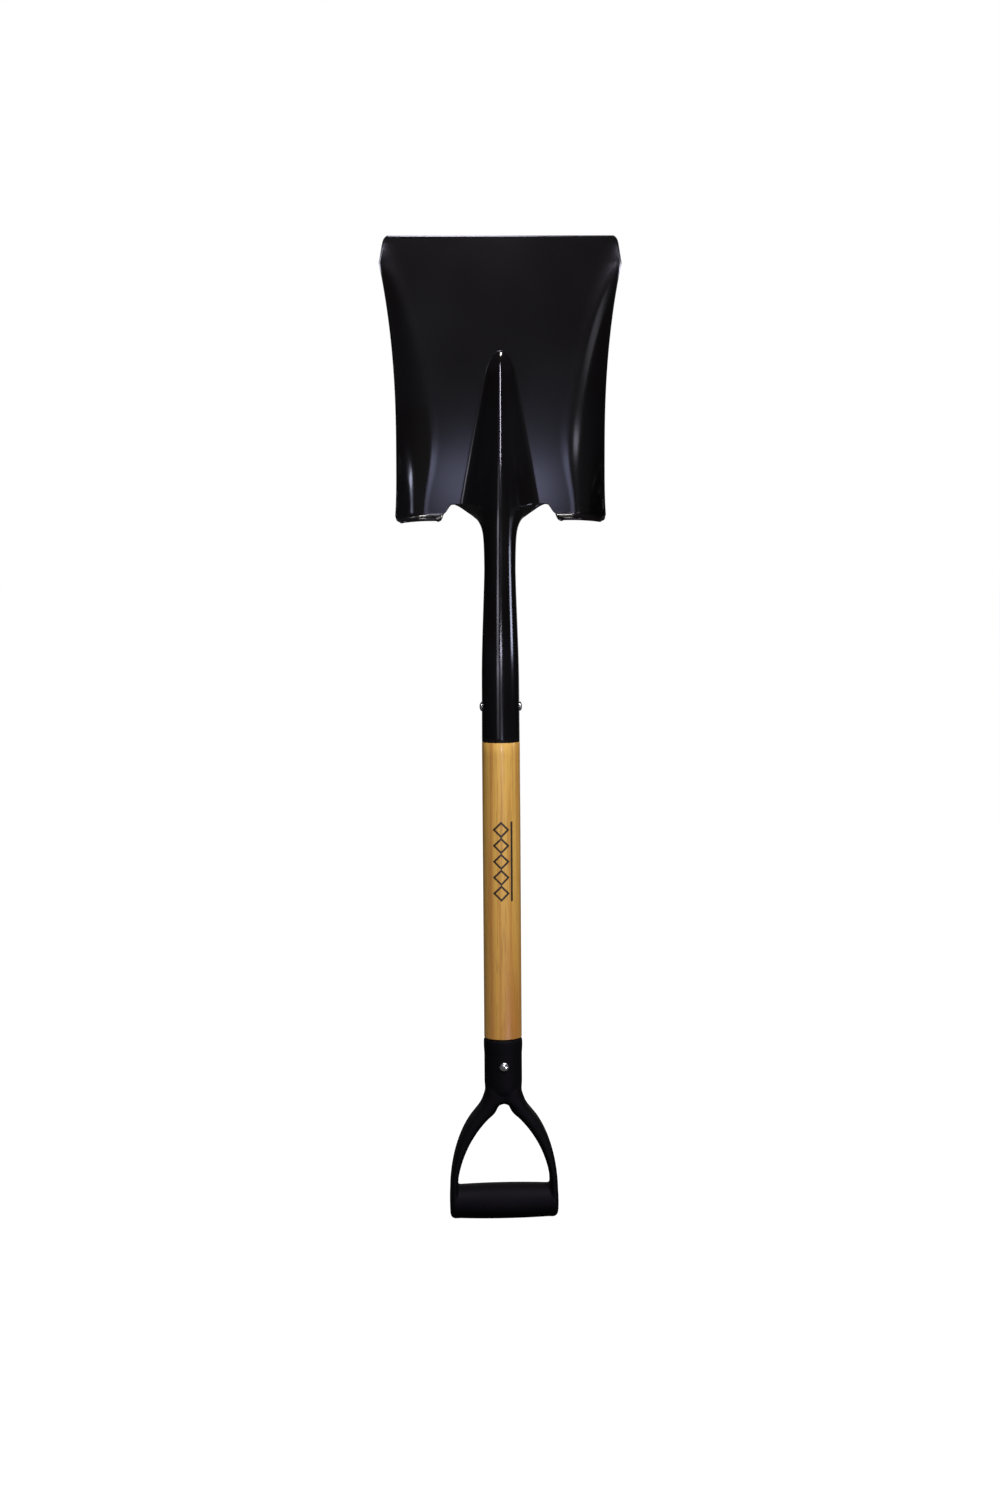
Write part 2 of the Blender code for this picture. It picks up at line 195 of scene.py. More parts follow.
def turned(
    name: str, profile: list[Point], steps: int, axis: Axis = Axis.Z, centre: Point = (0.0, 0.0)
) -> Piece:
    """Turn a profile into a closed round piece.

    Args:
        name: The object's name.
        profile: Points of radius and distance along the axis, in millimetres.
        steps: The number of faces round the piece.
        axis: The axis that the piece lies along.
        centre: The Y and Z of the profile's zero point, in millimetres.

    Returns:
        The turned piece.
    """
    start_clean()
    bpy.ops.mesh.primitive_plane_add(size=0.001)
    piece = bpy.context.active_object
    piece.name = name
    bpy.ops.object.mode_set(mode="EDIT")
    bpy.ops.mesh.select_all(action="SELECT")
    bpy.ops.mesh.merge(type="CENTER")
    here = Vector((profile[0][0], 0.0, profile[0][1])) * MM
    bpy.ops.transform.translate(value=here)
    for radius, distance in profile[1:]:
        there = Vector((radius, 0.0, distance)) * MM
        bpy.ops.mesh.extrude_region_move(TRANSFORM_OT_translate={"value": there - here})
        here = there
    bpy.ops.mesh.select_all(action="SELECT")
    bpy.ops.mesh.spin(steps=steps, angle=2.0 * math.pi, center=(0.0, 0.0, 0.0), axis=(0.0, 0.0, 1.0))
    bpy.ops.object.mode_set(mode="OBJECT")
    tidy_mesh(piece, FINE_WELD)
    piece.data.transform(Matrix.Translation(Vector((0.0, *centre)) * MM) @ axis.turn())
    return piece


def joined(name: str, pieces: list[Piece]) -> Piece:
    """Join several meshes into one object."""
    pick(pieces[0])
    for piece in pieces[1:]:
        piece.select_set(True)
    bpy.ops.object.join()
    whole = bpy.context.active_object
    whole.name = name
    return whole


def modified(piece: Piece, kind: str, **settings: object) -> None:
    """Add one modifier with its settings and apply it."""
    pick(piece)
    step = piece.modifiers.new(kind.lower(), kind)
    for key, value in settings.items():
        setattr(step, key, value)
    bpy.ops.object.modifier_apply(modifier=step.name)


def capped(piece: Piece) -> None:
    """Close the open ends of a tube."""
    pick(piece)
    bpy.ops.object.mode_set(mode="EDIT")
    bpy.ops.mesh.select_all(action="SELECT")
    bpy.ops.mesh.fill_holes(sides=0)
    bpy.ops.mesh.normals_make_consistent(inside=False)
    bpy.ops.object.mode_set(mode="OBJECT")


def hand_over(
    piece: Piece, node: str, finish: bpy.types.Material, crease: float
) -> None:
    """Shade a finished piece, dress it and set it in the place of its CAD node.

    Args:
        piece: The finished mesh object.
        node: The CAD node that it stands for.
        finish: The material.
        crease: The angle in degrees above which an edge stays sharp.
    """
    pick(piece)
    bpy.ops.object.shade_smooth_by_angle(angle=math.radians(crease))
    piece.data.materials.clear()
    piece.data.materials.append(finish)
    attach(piece, "root")
    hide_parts(node)
    log.info("%s: %d faces for %s", piece.name, len(piece.data.polygons), node)


# Finishes


class Wiring:
    """A node tree, with short calls that add a node and wire its sockets."""

    def __init__(self, tree: bpy.types.NodeTree) -> None:
        """Keep the tree."""
        self.tree = tree

    def add(
        self, kind: str, sockets: dict[str | int, object] | None = None, **settings: object
    ) -> bpy.types.Node:
        """Add a node.

        Args:
            kind: The node's type.
            sockets: Values or output sockets for its inputs, by name or number.
            settings: The node's own settings.

        Returns:
            The node.
        """
        node = self.tree.nodes.new(kind)
        for key, value in settings.items():
            setattr(node, key, value)
        for key, value in (sockets or {}).items():
            if isinstance(value, Socket):
                self.tree.links.new(value, node.inputs[key])
            else:
                node.inputs[key].default_value = value
        return node

    def maths(self, operation: str, *values: object) -> Socket:
        """Combine values with one Math node."""
        return self.add("ShaderNodeMath", dict(enumerate(values)), operation=operation).outputs[0]

    def span(
        self, value: object, low: float, high: float, start: float = 0.0, end: float = 1.0
    ) -> Socket:
        """Ease a value from start at low to end at high, and hold it outside."""
        sockets = {"Value": value, "From Min": low, "From Max": high, "To Min": start, "To Max": end}
        return self.add("ShaderNodeMapRange", sockets, interpolation_type="SMOOTHSTEP").outputs[0]

    def stretched(self, scale: Place) -> Socket:
        """Give the object's own coordinates, scaled along each axis."""
        place = self.add("ShaderNodeTexCoord").outputs["Object"]
        return self.add("ShaderNodeMapping", {"Vector": place, "Scale": scale}).outputs[0]

    def noise(self, vector: object, scale: object, detail: float, roughness: float) -> Socket:
        """Give a noise pattern between 0 and 1."""
        sockets = {"Vector": vector, "Scale": scale, "Detail": detail, "Roughness": roughness}
        return self.add("ShaderNodeTexNoise", sockets).outputs[0]

    def tint(self, share: object, first: object, second: object) -> Socket:
        """Blend two colours by a share."""
        return self.add("ShaderNodeMix", {0: share, 6: first, 7: second}, data_type="RGBA").outputs[2]

    def axes(self) -> dict[str, Socket]:
        """Give the object's X, Y and Z in metres as separate values."""
        place = self.add("ShaderNodeTexCoord").outputs["Object"]
        return dict(self.add("ShaderNodeSeparateXYZ", {0: place}).outputs.items())


def rgba(colour: Colour) -> tuple[float, float, float, float]:
    """Give a colour its full alpha."""
    return (*colour, 1.0)


def new_group(
    name: str, inputs: dict[str, float], outputs: list[str]
) -> tuple[Wiring, bpy.types.Node, bpy.types.Node]:
    """Start a shader node group.

    Args:
        name: The group's name.
        inputs: The inputs and their usual values.
        outputs: The names of its value outputs.

    Returns:
        The wiring of the group, its input node and its output node.
    """
    tree = bpy.data.node_groups.new(name, "ShaderNodeTree")
    for label, value in inputs.items():
        socket = tree.interface.new_socket(label, in_out="INPUT", socket_type="NodeSocketFloat")
        socket.default_value = value
    for label in outputs:
        tree.interface.new_socket(label, in_out="OUTPUT", socket_type="NodeSocketFloat")
    wiring = Wiring(tree)
    return wiring, wiring.add("NodeGroupInput"), wiring.add("NodeGroupOutput")


def fine_skin_group() -> bpy.types.NodeTree:
    """Build the fine skin of a coating: a slow wave with a fine grit on it, and drifting patches."""
    inputs = {"Wave": 220.0, "Grit": 1800.0, "Grit Share": 0.3}
    wiring, given, result = new_group("fine_skin", inputs, ["Height", "Patch"])
    place = wiring.add("ShaderNodeTexCoord").outputs["Object"]
    wave = wiring.noise(place, given.outputs["Wave"], 2.0, 0.4)
    grit = wiring.noise(place, given.outputs["Grit"], 2.0, 0.6)
    height = wiring.maths("MULTIPLY_ADD", grit, given.outputs["Grit Share"], wave)
    patch = wiring.noise(place, 11.0, 1.5, 0.45)
    wiring.tree.links.new(height, result.inputs["Height"])
    wiring.tree.links.new(patch, result.inputs["Patch"])
    return wiring.tree


def edge_rub_group() -> bpy.types.NodeTree:
    """Build the rub on raised edges, broken up by a noise."""
    inputs = {"Start": 0.53, "End": 0.6, "Breakup": 160.0}
    wiring, given, result = new_group("edge_rub", inputs, ["Rub"])
    raised = wiring.add("ShaderNodeNewGeometry").outputs["Pointiness"]
    sockets = {"Value": raised, "From Min": given.outputs["Start"], "From Max": given.outputs["End"]}
    edge = wiring.add("ShaderNodeMapRange", sockets).outputs[0]
    place = wiring.add("ShaderNodeTexCoord").outputs["Object"]
    broken = wiring.span(wiring.noise(place, given.outputs["Breakup"], 4.0, 0.6), 0.42, 0.62)
    wiring.tree.links.new(wiring.maths("MULTIPLY", edge, broken), result.inputs["Rub"])
    return wiring.tree


class Finish:
    """A material in the making: its wiring, its Principled shader and the shared groups."""

    def __init__(self, name: str) -> None:
        """Start the material with its shader."""
        self.material = bpy.data.materials.new(name)
        self.material.use_nodes = True
        self.wiring = Wiring(self.material.node_tree)
        self.shader = self.material.node_tree.nodes["Principled BSDF"]

    def group(self, name: str, build: Callable[[], bpy.types.NodeTree], **values: float) -> bpy.types.Node:
        """Place a shared group, built on its first use, with this finish's own values."""
        tree = bpy.data.node_groups.get(name) or build()
        node = self.wiring.add("ShaderNodeGroup", node_tree=tree)
        for key, value in values.items():
            node.inputs[key.replace("_", " ").title()].default_value = value
        return node

    def set(self, **values: object) -> None:
        """Set or wire the shader's sockets, named in lower case with underscores."""
        for key, value in values.items():
            label = key.replace("_", " ").title().replace("Ior", "IOR")
            socket = self.shader.inputs[label]
            if isinstance(value, Socket):
                self.wiring.tree.links.new(value, socket)
            else:
                socket.default_value = value

    def bump(self, height: object, depth: float, strength: float) -> None:
        """Raise a height pattern, at a depth in millimetres."""
        sockets = {"Height": height, "Distance": depth * MM, "Strength": strength}
        self.set(normal=self.wiring.add("ShaderNodeBump", sockets).outputs[0])


@dataclass(frozen=True)
class BlackLacquer:
    """Stoved black lacquer on pressed steel, slightly rubbed on the edges."""

    body: Colour = (0.0036, 0.0031, 0.0034)
    cool: Colour = (0.0042, 0.0040, 0.0052)
    rubbed: Colour = (0.050, 0.052, 0.066)
    roughness: float = 0.14

    def make(self) -> bpy.types.Material:
        """Build the material."""
        finish = Finish("black_lacquer")
        wiring = finish.wiring
        skin = finish.group("fine_skin", fine_skin_group, wave=240.0, grit=1500.0, grit_share=0.25)
        rub = finish.group("edge_rub", edge_rub_group, start=0.56, end=0.70).outputs["Rub"]
        patch = skin.outputs["Patch"]
        colour = wiring.tint(wiring.span(patch, 0.35, 0.65), rgba(self.body), rgba(self.cool))
        colour = wiring.tint(rub, colour, rgba(self.rubbed))
        roughness = wiring.span(patch, 0.25, 0.75, self.roughness - 0.015, self.roughness + 0.02)
        finish.set(base_color=colour, roughness=roughness, ior=1.5)
        finish.bump(skin.outputs["Height"], 0.004, 0.2)
        return finish.material


@dataclass(frozen=True)
class LacqueredWood:
    """Straight-grained ash under a clear satin lacquer."""

    pale: Colour = (0.70, 0.42, 0.095)
    deep: Colour = (0.43, 0.175, 0.032)
    streak: Colour = (0.46, 0.185, 0.055)
    pore: Colour = (0.20, 0.085, 0.022)
    ink: Colour = (0.030, 0.019, 0.012)
    slow_scale: Place = (34.0, 34.0, 2.6)
    growth_scale: Place = (230.0, 230.0, 5.0)
    pore_scale: Place = (1500.0, 1500.0, 32.0)
    foot_z: float = 149.0
    foot_fade_z: float = 430.0
    foot_shade: float = 0.46
    slow_shade: float = 0.48
    growth_shade: float = 0.52
    pore_shade: float = 0.50
    streak_x: float = -9.0
    streak_wander: float = 6.0
    streak_half_width: float = 5.0
    streak_shade: float = 0.42
    mark_x: float = -1.5
    mark_z: float = 350.5
    mark_step: float = 16.0
    mark_size: float = 7.0
    mark_line: Point = (1.6, 1.2)
    mark_half_length: float = 40.0
    mark_end_fade: float = 0.3
    rule_x: float = 10.5
    rule_line: Point = (1.15, 0.85)

    def mark(self, wiring: Wiring, axes: dict[str, Socket]) -> Socket:
        """Draw the plain mark on the front: a row of diamonds beside a rule.

        Args:
            wiring: The material's wiring.
            axes: The object's own coordinates.

        Returns:
            The share of ink.
        """
        across = wiring.maths("SUBTRACT", wiring.maths("DIVIDE", axes["X"], MM), self.mark_x)
        along = wiring.maths("SUBTRACT", wiring.maths("DIVIDE", axes["Z"], MM), self.mark_z)
        step = wiring.maths("PINGPONG", along, self.mark_step / 2.0)
        reach = wiring.maths("ADD", wiring.maths("ABSOLUTE", across), step)
        outline = wiring.maths("ABSOLUTE", wiring.maths("SUBTRACT", reach, self.mark_size))
        diamonds = wiring.span(outline, *self.mark_line)
        aside = wiring.maths("ABSOLUTE", wiring.maths("SUBTRACT", across, self.rule_x))
        rule = wiring.span(aside, *self.rule_line)
        end = self.mark_half_length
        inside = wiring.span(wiring.maths("ABSOLUTE", along), end + self.mark_end_fade, end)
        front = wiring.span(axes["Y"], 0.0, -MM)
        drawn = wiring.maths("MAXIMUM", diamonds, rule)
        return wiring.maths("MULTIPLY", drawn, wiring.maths("MULTIPLY", inside, front))

    def make(self) -> bpy.types.Material:
        """Build the material."""
        finish = Finish("lacquered_ash")
        wiring = finish.wiring
        axes = wiring.axes()
        slow = wiring.noise(wiring.stretched(self.slow_scale), 1.0, 3.0, 0.5)
        growth = wiring.noise(wiring.stretched(self.growth_scale), 1.0, 4.0, 0.55)
        pores = wiring.noise(wiring.stretched(self.pore_scale), 1.0, 2.0, 0.6)
        height = wiring.maths("DIVIDE", axes["Z"], MM)
        foot = wiring.span(height, self.foot_z, self.foot_fade_z, self.foot_shade, 0.0)
        shade = wiring.maths("MULTIPLY_ADD", wiring.span(slow, 0.40, 0.66), self.slow_shade, foot)
        colour = wiring.tint(shade, rgba(self.pale), rgba(self.deep))
        lines = wiring.maths("MULTIPLY", wiring.span(growth, 0.47, 0.62), self.growth_shade)
        colour = wiring.tint(lines, colour, rgba(self.deep))
        across = wiring.maths("DIVIDE", axes["X"], MM)
        wandering = wiring.maths("MULTIPLY_ADD", slow, self.streak_wander, across)
        near = wiring.maths("ABSOLUTE", wiring.maths("SUBTRACT", wandering, self.streak_x))
        streak = wiring.span(near, self.streak_half_width, 0.0, 0.0, self.streak_shade)
        colour = wiring.tint(streak, colour, rgba(self.streak))
        dots = wiring.maths("MULTIPLY", wiring.span(pores, 0.56, 0.70), self.pore_shade)
        colour = wiring.tint(dots, colour, rgba(self.pore))
        colour = wiring.tint(self.mark(wiring, axes), colour, rgba(self.ink))
        finish.set(base_color=colour, coat_weight=0.35, coat_roughness=0.18, ior=1.45)
        finish.set(roughness=wiring.span(pores, 0.4, 0.8, 0.42, 0.58))
        finish.bump(wiring.maths("ADD", growth, pores), 0.03, 0.25)
        return finish.material


@dataclass(frozen=True)
class SatinPlastic:
    """Moulded black plastic with a fine satin texture and a parting line down its middle plane."""

    body: Colour = (0.0030, 0.0027, 0.0032)
    worn: Colour = (0.009, 0.0085, 0.010)
    roughness: float = 0.60
    sheen: float = 0.06
    sheen_tint: Colour = (0.74, 0.70, 1.0)
    seam_edge: Point = (0.35, 0.1)
    seam_height: float = 2.5

    def make(self) -> bpy.types.Material:
        """Build the material."""
        finish = Finish("satin_black_plastic")
        wiring = finish.wiring
        skin = finish.group("fine_skin", fine_skin_group, wave=700.0, grit=2600.0, grit_share=0.8)
        rub = finish.group("edge_rub", edge_rub_group, start=0.53, end=0.62).outputs["Rub"]
        patch = skin.outputs["Patch"]
        worn = wiring.maths("MULTIPLY_ADD", rub, 0.6, wiring.span(patch, 0.45, 0.75, 0.0, 0.25))
        finish.set(base_color=wiring.tint(worn, rgba(self.body), rgba(self.worn)))
        finish.set(specular_ior_level=self.sheen, specular_tint=rgba(self.sheen_tint))
        finish.set(roughness=wiring.span(patch, 0.3, 0.7, self.roughness - 0.04, self.roughness + 0.06))
        depth = wiring.maths("DIVIDE", wiring.axes()["Y"], MM)
        seam = wiring.span(wiring.maths("ABSOLUTE", depth), *self.seam_edge)
        height = wiring.maths("MULTIPLY_ADD", seam, self.seam_height, skin.outputs["Height"])
        finish.bump(height, 0.03, 0.5)
        return finish.material


@dataclass(frozen=True)
class BrightSteel:
    """Bright plated steel with a soft brushed haze."""

    body: Colour = (0.66, 0.66, 0.65)
    dull: Colour = (0.34, 0.33, 0.32)
    roughness: float = 0.22
    dull_roughness: float = 0.44
    spot_scale: float = 520.0

    def make(self) -> bpy.types.Material:
        """Build the material."""
        finish = Finish("bright_steel")
        wiring = finish.wiring
        skin = finish.group("fine_skin", fine_skin_group, wave=900.0, grit=4200.0, grit_share=0.5)
        edges = finish.group("edge_rub", edge_rub_group, start=0.52, end=0.6, breakup=700.0)
        rub = edges.outputs["Rub"]
        spots = wiring.noise(wiring.stretched((1.0, 1.0, 1.0)), self.spot_scale, 4.0, 0.7)
        spots = wiring.span(spots, 0.52, 0.74)
        colour = wiring.tint(spots, rgba(self.body), rgba(self.dull))
        finish.set(base_color=wiring.tint(rub, colour, rgba(self.body)), metallic=1.0)
        finish.set(roughness=wiring.span(spots, 0.0, 1.0, self.roughness, self.dull_roughness))
        finish.bump(skin.outputs["Height"], 0.02, 0.3)
        return finish.material


# Pieces


@dataclass
class ShovelHead:
    """One pressed sheet: rolled socket, frog, pan, side walls, notches and forward-turned treads."""

    thickness: float = 2.0
    mouth_z: float = 469.7
    mouth_r: float = 19.0
    neck_r: float = 15.4
    neck_taper: float = 0.8
    swage_start: float = 60.0
    swage_end: float = 190.0
    bend_start_z: float = 560.0
    bend_length: float = 130.0
    lift: float = math.radians(11.0)
    pan_behind_axis: float = 12.0
    seam_half_gap: float = 0.8
    pan_start: float = 225.5
    pan_length: float = 270.0
    pan_sag: float = 3.0
    waist_s: float = 70.0
    waist_half_width: float = 101.2
    rear_flare: float = 2.0
    rear_flare_run: float = 74.0
    rear_flare_power: int = 4
    flare_power: float = 2.35
    widest_s: float = 244.0
    widest_half_width: float = 116.7
    corner_half_width: float = 108.7
    corner_slope: float = 4.6
    corner_power: int = 12
    wall_height: float = 25.0
    wall_least_width: float = 1.0
    wall_end_gap: float = 6.0
    wall_fall_power: float = 1.1
    wall_rise_power: float = 2.5
    wall_foot: float = 48.0
    wall_foot_rear: float = 22.0
    wall_foot_rear_run: float = 55.0
    wall_foot_front: float = 50.0
    wall_foot_front_power: float = 1.6
    frog_height: float = 26.4
    frog_end_height: float = 7.0
    frog_half_width: float = 41.0
    frog_narrowing: float = 0.185
    frog_nose_s: float = 136.0
    frog_tip_s: float = 159.0
    frog_nose_power: int = 7
    frog_nose_blunt: float = 0.98
    crest_ease: float = 60.0
    notch_x: float = 44.0
    notch_s: float = 8.7
    notch_floor_x: float = 47.0
    notch_side_x: float = 55.0
    notch_flank_run: float = 18.0
    vee_width: float = 9.0
    vee_run: float = 70.0
    lip_width: float = 7.0
    lip_run: float = 3.0
    tread_roll_x: float = 53.7
    tread_flat_x: float = 62.7
    tread_end_x: float = 102.8
    tread_bend_r: float = 4.0
    tread_depth: float = 9.5
    tread_end_depth: float = 4.0
    tread_narrow_x: Point = (82.0, 101.0)
    tread_tuck: float = 1.6
    tread_tuck_x: Point = (96.0, 103.0)
    corner_climb: float = 3.0
    corner_climb_width: float = 7.0
    faces_middle: int = 64
    faces_socket: int = 110
    faces_pan: int = 200
    faces_blade: int = 40
    faces_tread: int = 16
    weld: float = 0.1
    edge_round: float = 0.55
    edge_angle: float = 60.0

    def socket_radius(self, q: float) -> float:
        """Give the outer radius of the socket and neck at q up the centre line from the mouth."""
        swage = self.mouth_r - self.neck_r - self.neck_taper
        open_share = 1.0 - smoothstep(self.swage_start, self.swage_end, q)
        return self.neck_r + swage * open_share + self.neck_taper * max(0.0, 1.0 - q / self.swage_end)

    def centre_line(self, q: float) -> tuple[float, float, float]:
        """Give the Y, Z and forward tilt of the centre line: straight, then bent by the lift."""
        straight = self.bend_start_z - self.mouth_z
        if q <= straight:
            return 0.0, self.mouth_z + q, 0.0
        radius = self.bend_length / self.lift
        tilt = min((q - straight) / radius, self.lift)
        rest = max(q - straight - self.bend_length, 0.0)
        y = -radius * (1.0 - math.cos(tilt)) - rest * math.sin(tilt)
        return y, self.bend_start_z + radius * math.sin(tilt) + rest * math.cos(tilt), tilt

    def point(self, x: float, q: float, height: float) -> Vector:
        """Place a point x across, q along and height above the pan's floor on the scoop side."""
        y, z, tilt = self.centre_line(q)
        offset = height - self.pan_behind_axis
        return Vector((x, y - offset * math.cos(tilt), z - offset * math.sin(tilt)))

    def half_width(self, s: float) -> float:
        """Give the half width of the blade at s along the pan."""
        if s <= self.widest_s:
            behind = max((self.waist_s - s) / self.rear_flare_run, 0.0)
            rear = self.rear_flare * behind ** self.rear_flare_power
            flare = max((s - self.waist_s) / (self.widest_s - self.waist_s), 0.0) ** self.flare_power
            return self.waist_half_width + rear + (self.widest_half_width - self.waist_half_width) * flare
        t = (s - self.widest_s) / (self.pan_length - self.widest_s)
        rounding = self.widest_half_width - self.corner_half_width - self.corner_slope
        return self.widest_half_width - self.corner_slope * t - rounding * t ** self.corner_power

    def along(self, s: float) -> float:
        """Give s as a share of the pan's length, held between 0 and 1."""
        return min(max(s / self.pan_length, 0.0), 1.0)

    def crest_fall(self, s: float) -> float:
        """Give how far the crest has come down at s, on a slope that begins gently in the neck."""
        slope = (self.frog_height - self.frog_end_height) / self.frog_nose_s
        if s >= self.crest_ease:
            return slope * s
        return slope * (max(s + self.crest_ease, 0.0) ** 2 / (4.0 * self.crest_ease))

    def frog(self, x: float, s: float) -> float:
        """Give how high the frog stands on the pan, with its blunt nose."""
        nose = min(max((s - self.frog_nose_s) / (self.frog_tip_s - self.frog_nose_s), 0.0), 1.0)
        crest = (self.frog_height - self.crest_fall(s)) * (1.0 - nose ** self.frog_nose_power)
        blunt = math.sqrt(1.0 - min(nose, self.frog_nose_blunt) ** 2)
        reach = (self.frog_half_width - self.frog_narrowing * max(s, 0.0)) * blunt
        t = min(abs(x) / reach, 1.0)
        return crest * (1.0 - t) ** 2 * (1.0 + 2.0 * t)

    def wall(self, x: float, s: float) -> float:
        """Give how high a side wall stands on the pan: it rises from its foot and runs out forward."""
        foot = self.wall_foot + self.wall_foot_rear * math.exp(-((s / self.wall_foot_rear_run) ** 2))
        foot += self.wall_foot_front * self.along(s) ** self.wall_foot_front_power
        edge = max(self.half_width(s), foot + self.wall_least_width)
        rise = min(max((abs(x) - foot) / (edge - foot), 0.0), 1.0)
        fall = max(1.0 - s / (self.pan_length - self.wall_end_gap), 0.0) ** self.wall_fall_power
        return self.wall_height * fall * rise ** self.wall_rise_power

    def pan_height(self, x: float, s: float) -> float:
        """Give the height of the sheet above the pan's floor: sag, frog and side walls."""
        along = self.along(s)
        return self.pan_sag * along * along + self.frog(x, s) + self.wall(x, s)

    def free_edge_x(self, q: float) -> float:
        """Give the half width of the opened socket sheet, from its seam out to the notch."""
        drop = max(self.pan_start + self.notch_s - q, 0.0)
        flank_width = self.notch_x - self.vee_width - self.lip_width
        flank = flank_width * math.exp(-((drop / self.notch_flank_run) ** 2))
        vee = self.vee_width * max(1.0 - drop / self.vee_run, 0.0)
        vee += self.lip_width * math.exp(-drop / self.lip_run)
        return max(vee + flank, self.seam_half_gap)

    def middle_point(self, side: float, q: float) -> Vector:
        """Place a point of the middle: side 0 is the crest, 1 and -1 the free edges."""
        share = abs(side)
        opened = (self.free_edge_x(q) - self.seam_half_gap) / (self.notch_x - self.seam_half_gap)
        radius = self.socket_radius(q) - self.thickness / 2.0
        angle = share * (math.pi - self.seam_half_gap / radius)
        flat_x = self.notch_x * share
        x = mix(radius * math.sin(angle), flat_x, opened)
        s = q - self.pan_start
        rolled = self.pan_behind_axis + radius * math.cos(angle) - self.crest_fall(s)
        height = mix(rolled, self.pan_height(flat_x, s), opened)
        return self.point(math.copysign(x, side), q, height)

    def tread_start(self, x: float) -> float:
        """Give where the tread's bend starts: it climbs round the notch and at the outer corner."""
        outer = self.half_width(0.0)
        notch = self.notch_s * (1.0 - smoothstep(self.notch_floor_x, self.notch_side_x, x))
        return notch + self.corner_climb * smoothstep(outer - self.corner_climb_width, outer, x) ** 2

    def outer_point(
        self, side: float, across: float, q: float, rolled: float = 0.0, flange: float = 0.0
    ) -> Vector:
        """Place a point of an outer block.

        Args:
            side: 1 on the right, -1 on the left.
            across: The share of the way from the notch to the outer edge.
            q: The place along the head.
            rolled: How far the tread has turned forward, 0 to 1.
            flange: How far along the flat of the tread, 0 to 1.

        Returns:
            The point in millimetres.
        """
        rear_x = mix(self.notch_x, self.tread_end_x, across)
        share = (self.pan_length - (q - self.pan_start)) / (self.pan_length - self.notch_s)
        s = self.pan_length - (self.pan_length - self.tread_start(rear_x)) * share
        x = mix(self.notch_x, self.half_width(s), across)
        height = self.pan_height(x, s)
        turned_out = smoothstep(self.tread_roll_x, self.tread_flat_x, x)
        angle = rolled * turned_out * math.pi / 2.0
        depth = mix(self.tread_depth, self.tread_end_depth, smoothstep(*self.tread_narrow_x, x))
        reach = depth * turned_out * flange
        s -= self.tread_bend_r * math.sin(angle) + reach * math.cos(angle)
        height += self.tread_bend_r * (1.0 - math.cos(angle)) + reach * math.sin(angle)
        x -= self.tread_tuck * smoothstep(*self.tread_tuck_x, x) * (rolled + flange)
        return self.point(side * x, self.pan_start + s, height)

    def blocks(self) -> list[Piece]:
        """Form the sheet's blocks: the socket, the middle of the pan, and each side with its tread."""
        notch_q = self.pan_start + self.notch_s
        end_q = self.pan_start + self.pan_length
        even_rows, crowding = 0.12, 2.2

        def socket(u: float, v: float) -> Vector:
            """Place a socket point, with its rows close together at the notch."""
            drop = 1.0 - v
            q = notch_q * (1.0 - even_rows * drop - (1.0 - even_rows) * drop ** crowding)
            return self.middle_point(2.0 * u - 1.0, q)

        def pan(u: float, v: float) -> Vector:
            """Place a point between the notches."""
            return self.middle_point(2.0 * u - 1.0, mix(notch_q, end_q, v))

        pieces = [formed_sheet("socket", self.faces_middle, self.faces_socket, socket)]
        pieces.append(formed_sheet("pan", self.faces_middle, self.faces_pan, pan))
        for side in (-1.0, 1.0):

            def blade(u: float, v: float) -> Vector:
                """Place a point of the blade outside a notch."""
                return self.outer_point(side, u, mix(notch_q, end_q, v))

            def tread(u: float, v: float) -> Vector:
                """Place a point of a tread: its flat first, then its bend."""
                return self.outer_point(side, u, notch_q, min(2.0 - 2.0 * v, 1.0), max(1.0 - 2.0 * v, 0.0))

            pieces.append(formed_sheet("blade", self.faces_blade, self.faces_pan, blade))
            pieces.append(formed_sheet("tread", self.faces_blade, self.faces_tread, tread))
        return pieces

    def build(self, finish: bpy.types.Material) -> None:
        """Make the head."""
        head = joined("pressed_head", self.blocks())
        tidy_mesh(head, self.weld)
        modified(head, "SOLIDIFY", thickness=self.thickness * MM, offset=0.0, use_even_offset=True)
        sharp = math.radians(self.edge_angle)
        modified(
            head, "BEVEL", width=self.edge_round * MM, segments=3, limit_method="ANGLE", angle_limit=sharp
        )
        hand_over(head, "shovel_head", finish, self.edge_angle)


